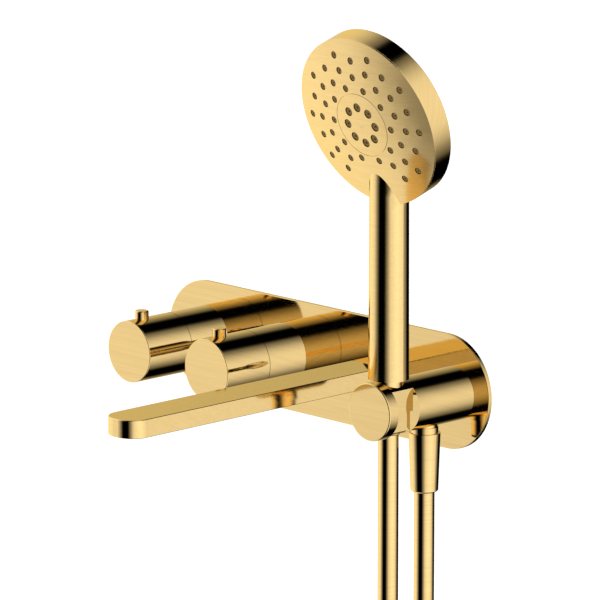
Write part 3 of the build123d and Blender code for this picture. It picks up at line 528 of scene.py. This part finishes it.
@dataclass(frozen=True)
class Woven:
    """Woven strap: ribs across its length with a soft sheen.

    Attributes:
        name: the material's name.
        colour: the yarn's colour.
        ribs: ribs to the metre.
        fuzz: fibres to the metre.
        rib_turn: how far each of the two sets of ribs is turned, in degrees.
        depth: depth of the ribs, in metres.
    """

    name: str
    colour: Colour
    ribs: float = 1100.0
    fuzz: float = 2400.0
    rib_turn: float = 45.0
    depth: float = 0.0003

    def material(self) -> bpy.types.Material:
        """Builds the material.

        Returns:
            The finished material.
        """
        shade = Shade(self.name)
        weave = None
        for turn in (self.rib_turn, -self.rib_turn):
            wave = shade.tree.nodes.new("ShaderNodeTexWave")
            place = shade.stretched(shade.place, Euler((math.radians(turn),) * 3), Vector((self.ribs,) * 3))
            shade.join(place, wave.inputs["Vector"])
            wave.inputs["Scale"].default_value = 0.32
            wave.inputs["Distortion"].default_value = 0.6
            weave = shade.math("MULTIPLY", weave, wave.outputs["Fac"]) if weave else wave.outputs["Fac"]
        fuzz = shade.noise(shade.place, 3.0, 0.6, self.fuzz)
        level = shade.mix(0.3, weave, fuzz)
        dark = tuple(c * 0.45 for c in self.colour)
        shade.set(Base_Color=shade.tint(shade.step(level, 0.1, 0.7), dark, self.colour), Roughness=0.85)
        shade.set(Sheen_Weight=0.3, Sheen_Roughness=0.5)
        shade.bump(level, self.depth, 0.9)
        return shade.material


def wear(material: bpy.types.Material, *nodes: str) -> None:
    """Gives one material to CAD nodes.

    Args:
        material: the finished material.
        nodes: the names of the nodes that wear it.
    """
    for name in nodes:
        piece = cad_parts[name]
        for place in piece.material_slots:
            place.material = material
        log.info("%s wears %s", name, material.name)


def keep_out_of_reflections(*nodes: str) -> None:
    """Leaves pieces out of what the other polished pieces mirror."""
    for name in nodes:
        bpy.data.objects[name].visible_glossy = False


# ---- Studio ------------------------------------------------------------------------------------
@dataclass
class Studio:
    """Camera, pale floor and soft side lights.

    Attributes:
        eye: where the camera stands.
        aim: the point that it looks at.
        lens: its focal length in millimetres.
        floor_height: the floor's height, below the longest hose loop.
        floor_size: the floor's width.
        floor_glow: how much the floor shines by itself, so that it stays pale.
        brightest: the scale of the surroundings' brightness.
        light_turn: how far the side lights are turned about the upright axis.
        light_lift: how much the lights widen towards the top and the bottom.
        soft_edge: brightness of the surroundings from straight ahead to the side lights.
    """

    eye: Vector = field(default_factory=lambda: Vector((2.4792, -2.4082, 0.7931)))
    aim: Vector = field(default_factory=lambda: Vector((-0.01965, -0.00720, 0.04240)))
    lens: float = 304.9
    floor_height: float = -0.375
    floor_size: float = 60.0
    floor_glow: float = 0.75
    brightest: float = 1.40
    light_turn: float = math.radians(4.0)
    light_lift: float = -0.3
    soft_edge: tuple[tuple[float, float], ...] = (
        (0.22, 0.0), (0.30, 0.01), (0.35, 0.05), (0.42, 0.16), (0.50, 0.27), (0.56, 0.38),
        (0.66, 0.66), (0.77, 1.0), (0.85, 1.08), (0.95, 1.22), (1.0, 1.35),
    )

    def place_camera(self) -> None:
        """Adds the camera."""
        data = bpy.data.cameras.new("studio_camera")
        data.lens = self.lens
        data.clip_end = 100.0
        camera = bpy.data.objects.new("studio_camera", data)
        camera.location = self.eye
        camera.rotation_euler = (self.aim - self.eye).to_track_quat("-Z", "Y").to_euler()
        bpy.context.scene.collection.objects.link(camera)
        bpy.context.scene.camera = camera

    def lay_floor(self) -> None:
        """Adds the pale floor."""
        bpy.ops.mesh.primitive_plane_add(size=self.floor_size, location=(0, 0, self.floor_height))
        floor = bpy.context.object
        floor.name = "pale_floor"
        shade = Shade("pale_floor")
        shade.set(Base_Color=(0.9, 0.9, 0.9), Roughness=0.9)
        shade.set(Emission_Color=(1.0, 1.0, 1.0), Emission_Strength=self.floor_glow)
        floor.data.materials.append(shade.material)
        floor.visible_glossy = False

    def light(self) -> None:
        """Surrounds the object with a wide soft light to each side, and dark ahead and behind."""
        world = bpy.data.worlds.new("studio")
        bpy.context.scene.world = world
        world.use_nodes = True
        tree = world.node_tree
        tree.nodes.clear()

        def join(a: Socket, b: Socket) -> None:
            """Links two sockets, from a to b."""
            tree.links.new(a, b)

        def calc(operation: str, a: Socket | float, b: Socket | float = 0.0) -> Socket:
            """Adds one Math node.

            Args:
                operation: what the node works out.
                a: its first value.
                b: its second value, if it has one.

            Returns:
                The node's result.
            """
            node = tree.nodes.new("ShaderNodeMath")
            node.operation = operation
            for source, target in zip((a, b), node.inputs):
                if isinstance(source, bpy.types.NodeSocket):
                    join(source, target)
                else:
                    target.default_value = source
            return node.outputs[0]

        way = tree.nodes.new("ShaderNodeTexCoord").outputs["Generated"]
        dot = tree.nodes.new("ShaderNodeVectorMath")
        dot.operation = "DOT_PRODUCT"
        join(way, dot.inputs[0])
        dot.inputs[1].default_value = (math.cos(self.light_turn), math.sin(self.light_turn), 0.0)
        split = tree.nodes.new("ShaderNodeSeparateXYZ")
        join(way, split.inputs[0])
        level = calc("SUBTRACT", 1.0, calc("MULTIPLY", split.outputs["Z"], split.outputs["Z"]))
        spread = calc("POWER", calc("MAXIMUM", level, 0.0001), self.light_lift)
        side = calc("MULTIPLY", calc("ABSOLUTE", dot.outputs["Value"]), spread)
        ramp = tree.nodes.new("ShaderNodeValToRGB")
        join(side, ramp.inputs[0])
        stops = ramp.color_ramp.elements
        while len(stops) < len(self.soft_edge):
            stops.new(0.5)
        for stop, (where, bright) in zip(stops, self.soft_edge):
            stop.position = where
            stop.color = (*(bright / self.brightest,) * 3, 1.0)
        surround = tree.nodes.new("ShaderNodeBackground")
        join(ramp.outputs["Color"], surround.inputs["Color"])
        surround.inputs["Strength"].default_value = self.brightest
        paper = tree.nodes.new("ShaderNodeBackground")
        paper.inputs["Color"].default_value = (1.0, 1.0, 1.0, 1.0)
        paper.inputs["Strength"].default_value = 1.0
        either = tree.nodes.new("ShaderNodeMixShader")
        join(tree.nodes.new("ShaderNodeLightPath").outputs["Is Camera Ray"], either.inputs[0])
        join(surround.outputs[0], either.inputs[1])
        join(paper.outputs[0], either.inputs[2])
        join(either.outputs[0], tree.nodes.new("ShaderNodeOutputWorld").inputs["Surface"])

    def build(self) -> None:
        """Sets up the whole studio."""
        self.place_camera()
        self.lay_floor()
        self.light()
        bpy.context.scene.view_settings.view_transform = "Standard"
        log.info("studio ready")


# ---- Hose --------------------------------------------------------------------------------------
@dataclass
class Hose:
    """Shower hose from the wall outlet, through a wound loop, up to the handset.

    Attributes:
        across: the hose's diameter.
        axis_x: how far to the right both ends hang.
        outlet_reach: the wall outlet's distance from the wall.
        handset_reach: the handset's distance from the wall.
        outlet_top: the height of its end in the outlet's nut.
        handset_top: the height of its end in the handset's nut.
        half_way_z: a height that both legs pass while they hang straight.
        bend_z: the height where both legs turn towards the coil.
        lead_in: how far before and after the coil the legs are already in line with it.
        coil_r: radius of the turns, at the middle of the hose.
        coil_z: height of the coil's middle.
        coil_near: distance of the first turn from the wall.
        coil_far: distance of the last turn from the wall.
        turns: how many turns are wound.
        start_angle: where the first turn starts, from the right.
        points_per_turn: points of the line in one turn.
        length: the hose's length between its two nuts; not used.
        strap_width: the strap's width, along the hose.
        strap_thick: the strap's thickness.
        strap_cover: half of the strap's reach over the turns, as a share of the coil's depth.
        strap_ease: room between the outermost turns and the strap's ends.
        strap_room: room above and below the hose, both together.
        strap_corner: radius of the strap's corners.
        strap_corner_steps: faces round each corner.
    """

    across: float = 0.014
    axis_x: float = 0.1274
    outlet_reach: float = 0.0315
    handset_reach: float = 0.0661
    outlet_top: float = -0.0632
    handset_top: float = -0.0175
    half_way_z: float = -0.118
    bend_z: float = -0.185
    lead_in: float = 0.0275
    coil_r: float = 0.070
    coil_z: float = -0.282
    coil_near: float = 0.02913
    coil_far: float = 0.06847
    turns: float = 2.694
    start_angle: float = math.radians(145.0)
    points_per_turn: int = 16
    length: float = 1.62
    strap_width: float = 0.016
    strap_thick: float = 0.0014
    strap_cover: float = 0.372
    strap_ease: float = 0.0006
    strap_room: float = 0.0022
    strap_corner: float = 0.0068
    strap_corner_steps: int = 8

    def coil(self) -> list[Vector]:
        """Works out the wound turns.

        Returns:
            The points of their middle line.
        """
        count = round(self.turns * self.points_per_turn)
        points = []
        for i in range(count + 1):
            share = i / count
            angle = self.start_angle + share * self.turns * math.tau
            y = -(self.coil_near + share * (self.coil_far - self.coil_near))
            x = self.axis_x + self.coil_r * math.cos(angle)
            points.append(Vector((x, y, self.coil_z + self.coil_r * math.sin(angle))))
        return points

    def route(self) -> list[Vector]:
        """Lists the hose's whole route.

        Returns:
            The points of its middle line, from the outlet's nut to the handset's.
        """
        outlet_heights = (self.outlet_top, self.half_way_z, self.bend_z)
        handset_heights = (self.bend_z, self.half_way_z, self.handset_top)
        down = [Vector((self.axis_x, -self.outlet_reach, z)) for z in outlet_heights]
        up = [Vector((self.axis_x, -self.handset_reach, z)) for z in handset_heights]
        coil = self.coil()
        into = coil[0] + (down[-1] - coil[0]).normalized() * self.lead_in
        out_of = coil[-1] + (up[0] - coil[-1]).normalized() * self.lead_in
        return [*down, into, *coil, out_of, *up]

    def build(self, gold: bpy.types.Material) -> None:
        """Models the hose as one smooth line.

        Args:
            gold: the skin's material.
        """
        data = bpy.data.curves.new("shower_hose", "CURVE")
        data.dimensions = "3D"
        data.resolution_u = 12
        data.bevel_depth = self.across / 2
        data.bevel_resolution = 10
        spline = data.splines.new("NURBS")
        points = self.route()
        spline.points.add(len(points) - 1)
        for place, point in zip(spline.points, points):
            place.co = (*point, 1.0)
        spline.order_u = 3
        spline.use_endpoint_u = True
        data.materials.append(gold)
        hose = bpy.data.objects.new("shower_hose", data)
        bpy.context.scene.collection.objects.link(hose)
        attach(hose, "fixed_set")
        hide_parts("hose_outlet_leg", "hose_coil", "hose_handset_leg")
        strap = self.strap()
        hose.visible_glossy = False
        log.info("shower hose laid with %d points", len(points))

    def strap(self) -> bpy.types.Object:
        """Models the hook and loop strap that ties the turns at the lowest point of the loop.

        Returns:
            The strap.
        """
        bpy.ops.object.select_all(action="DESELECT")
        middle_y = -(self.coil_near + self.coil_far) / 2
        low = self.coil_z - self.coil_r
        half = (self.coil_far - self.coil_near) * self.strap_cover + self.across / 2 + self.strap_ease
        bpy.ops.mesh.primitive_cube_add(size=1, location=(self.axis_x, middle_y, low))
        strap = bpy.context.object
        strap.name = "hose_strap"
        strap.scale = (self.strap_width, 2 * half, self.across + self.strap_room)
        bpy.ops.object.transform_apply(location=True, rotation=True, scale=True)
        self.open_ends(strap)
        self.round_corners(strap)
        wall = strap.modifiers.new("wall", "SOLIDIFY")
        wall.thickness = self.strap_thick
        wall.offset = 1.0
        bpy.ops.object.modifier_apply(modifier="wall")
        strap.data.materials.append(Woven("strap_weave", YARN_BLACK).material())
        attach(strap, "fixed_set")
        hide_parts("hose_tie")
        return strap

    def open_ends(self, strap: bpy.types.Object) -> None:
        """Takes away the two faces that the hose would pass through.

        Args:
            strap: the strap's block.
        """
        bpy.ops.object.mode_set(mode="EDIT")
        bpy.ops.mesh.select_mode(type="FACE")
        bpy.ops.object.mode_set(mode="OBJECT")
        for face in strap.data.polygons:
            face.select = abs(face.normal.x) > FACING_ALONG
        bpy.ops.object.mode_set(mode="EDIT")
        bpy.ops.mesh.delete(type="ONLY_FACE")
        bpy.ops.object.mode_set(mode="OBJECT")

    def round_corners(self, strap: bpy.types.Object) -> None:
        """Rounds the four edges that run along the hose.

        Args:
            strap: the strap's open block.
        """
        bpy.ops.object.mode_set(mode="EDIT")
        bpy.ops.mesh.select_mode(type="EDGE")
        bpy.ops.object.mode_set(mode="OBJECT")
        for edge in strap.data.edges:
            a, b = (strap.data.vertices[i].co for i in edge.vertices)
            edge.select = abs(a.x - b.x) > self.strap_thick
        bpy.ops.object.mode_set(mode="EDIT")
        bpy.ops.mesh.bevel(offset=self.strap_corner, segments=self.strap_corner_steps, affect="EDGES")
        bpy.ops.object.mode_set(mode="OBJECT")


# ---- Sub-assemblies ----------------------------------------------------------------------------
@dataclass
class WallSet:
    """Wall plate, its gasket, the concealed body, its screws and its inlets."""

    def dress(self) -> None:
        """Dresses the plate and what stands behind it."""
        wear(BrushedMetal("plate_gold", Lay.ALONG, roughness=0.05).material(), "wall_plate")
        keep_out_of_reflections(
            "wall_plate", "plate_gasket", "valve_body", "wall_screws", "inlet_unions", "inlet_filters",
            "spout_adapter", "elbow_nipple",
        )
        foam = Moulded("gasket_foam", FOAM_GREY, roughness=0.9, grain=900.0, depth=0.0002, variation=0.35)
        wear(foam.material(), "plate_gasket")
        wear(CastMetal("cast_brass", CAST_BRASS).material(), "valve_body")
        steel = TurnedMetal("zinc_steel", ZINC_STEEL, roughness=0.30)
        wear(steel.material(), "wall_screws", "check_valve_springs")
        wear(TurnedMetal("union_brass", UNION_BRASS, roughness=0.26).material(), "inlet_unions")
        plastic = Moulded("valve_plastic", VALVE_WHITE, roughness=0.4)
        wear(plastic.material(), "check_valve_seats", "hot_check_valve_poppet", "cold_check_valve_poppet")
        wear(Moulded("filter_plastic", FILTER_BLUE, roughness=0.35).material(), "inlet_filters")


@dataclass
class KnobSet:
    """One turning knob with its sleeve, pin, cartridge and small parts.

    Attributes:
        name: "temperature" or "flow".
        axis_x: where its axis stands along the plate.
    """

    name: str
    axis_x: float

    def dress(self) -> None:
        """Dresses the knob, its sleeve and its cartridge."""
        centre = (self.axis_x, 0.0, 0.0)
        gold = BrushedMetal(self.name + "_gold", Lay.TWIST, Lay.ALONG, centre)
        wear(gold.material(), self.name + "_knob", self.name + "_sleeve")
        pin = BrushedMetal(self.name + "_pin_gold", Lay.LEVEL, roughness=0.09)
        wear(pin.material(), self.name + "_knob_pin")
        screw = TurnedMetal(self.name + "_screw_steel", SCREW_STEEL, roughness=0.3, upright=True)
        wear(screw.material(), self.name + "_grub_screw")
        acetal = Moulded(self.name + "_acetal", ACETAL, roughness=0.38)
        wear(acetal.material(), self.name + "_cartridge_housing", self.name + "_spline_adapter")
        brass = TurnedMetal(self.name + "_brass", BRASS, roughness=0.25)
        wear(brass.material(), self.name + "_cartridge_nut", self.name + "_spindle")


@dataclass
class Works:
    """What works inside the two cartridges."""

    def dress(self) -> None:
        """Dresses the thermostat's parts and the ceramic discs."""
        stop = Moulded("stop_ring_plastic", STOP_RING_WHITE, roughness=0.4)
        wear(stop.material(), "temperature_stop_ring")
        wear(TurnedMetal("wax_copper", COPPER, roughness=0.3).material(), "wax_element")
        steel = TurnedMetal("spring_steel", SPRING_STEEL, roughness=0.22)
        wear(steel.material(), "thermostat_piston", "thermostat_return_spring")
        ceramic = Moulded(
            "fired_ceramic", CERAMIC, roughness=0.14, grain=2500.0, depth=0.00001, variation=0.05,
        )
        wear(ceramic.material(), "fixed_ceramic_disc", "turning_ceramic_disc")


@dataclass
class Spout:
    """Flat spout with its aerator and its fixing."""

    def dress(self) -> None:
        """Dresses the spout and its small parts."""
        wear(BrushedMetal("spout_gold", Lay.SLANT, Lay.ALONG, roughness=0.07).material(), "spout")
        wear(Moulded("aerator_plastic", AERATOR_GREY, roughness=0.4).material(), "aerator_housing")
        straightener = Moulded("straightener_plastic", STRAIGHTENER_WHITE, roughness=0.35)
        wear(straightener.material(), "flow_straightener")
        wear(TurnedMetal("adapter_brass", BRASS, roughness=0.26).material(), "spout_adapter")
        wear(Moulded("seal_rubber", SEAL_BLACK, roughness=0.6).material(), "spout_seal")


@dataclass
class Outlet:
    """Outlet elbow, handset fork and the outlet's nut.

    Attributes:
        axis_x: where its axis stands along the plate.
    """

    axis_x: float = 0.1274

    def dress(self) -> None:
        """Dresses the elbow, the fork and the nut."""
        centre = (self.axis_x, 0.0, 0.0)
        gold = BrushedMetal("elbow_gold", Lay.TWIST, Lay.ALONG, centre, slope=21.0)
        wear(gold.material(), "outlet_elbow", "handset_fork")
        level = BrushedMetal("outlet_level_gold", Lay.LEVEL, roughness=0.07)
        wear(level.material(), "outlet_nipple", "outlet_hose_nut")
        keep_out_of_reflections("handset_fork", "outlet_hose_nut")
        wear(TurnedMetal("nipple_brass", BRASS, roughness=0.26).material(), "elbow_nipple")
        screw = TurnedMetal("fork_screw_steel", SCREW_STEEL, roughness=0.3, upright=True)
        wear(screw.material(), "fork_grub_screw")
        rubber = Moulded("washer_rubber", WASHER_BLACK, roughness=0.6)
        wear(rubber.material(), "outlet_hose_washer", "handset_hose_washer")


@dataclass
class Handset:
    """Round hand shower with a push button in the middle of its face."""

    def dress(self) -> None:
        """Dresses the shells, the spray parts and the nut."""
        face = BrushedMetal("face_gold", Lay.HEAD_FACE, roughness=0.12)
        wear(face.material(), "handset_front_shell", "mode_button")
        wear(BrushedMetal("cover_gold", Lay.HEAD_SIDE).material(), "handset_back_cover")
        wear(BrushedMetal("handset_level_gold", Lay.LEVEL).material(), "handset_hose_nut")
        keep_out_of_reflections("handset_hose_nut", "handset_front_shell", "handset_water_tube")
        rubber = Moulded("nozzle_rubber", NOZZLE_OLIVE, roughness=0.6, grain=2200.0, depth=0.00002)
        wear(rubber.material(), "nozzle_mat", "button_nozzle_mat")
        plastic = Moulded("waterway_plastic", WATERWAY_GREY, roughness=0.45)
        wear(plastic.material(), "spray_chamber", "handset_water_tube")
        steel = TurnedMetal("chamber_steel", SPRING_STEEL, roughness=0.26)
        wear(steel.material(), "chamber_screws", "button_spring")
        brass = TurnedMetal("insert_brass", BRASS, roughness=0.26, upright=True)
        wear(brass.material(), "handset_thread_insert")


def main() -> None:
    """Builds the studio and the sub-assemblies in order."""
    Studio().build()
    Hose().build(BrushedMetal("hose_gold", Lay.LEVEL, roughness=0.08).material())
    WallSet().dress()
    KnobSet("temperature", -0.120).dress()
    KnobSet("flow", -0.040).dress()
    Works().dress()
    Spout().dress()
    Outlet().dress()
    Handset().dress()
    log.info("sizes written")


if __name__ == "__main__":
    main()
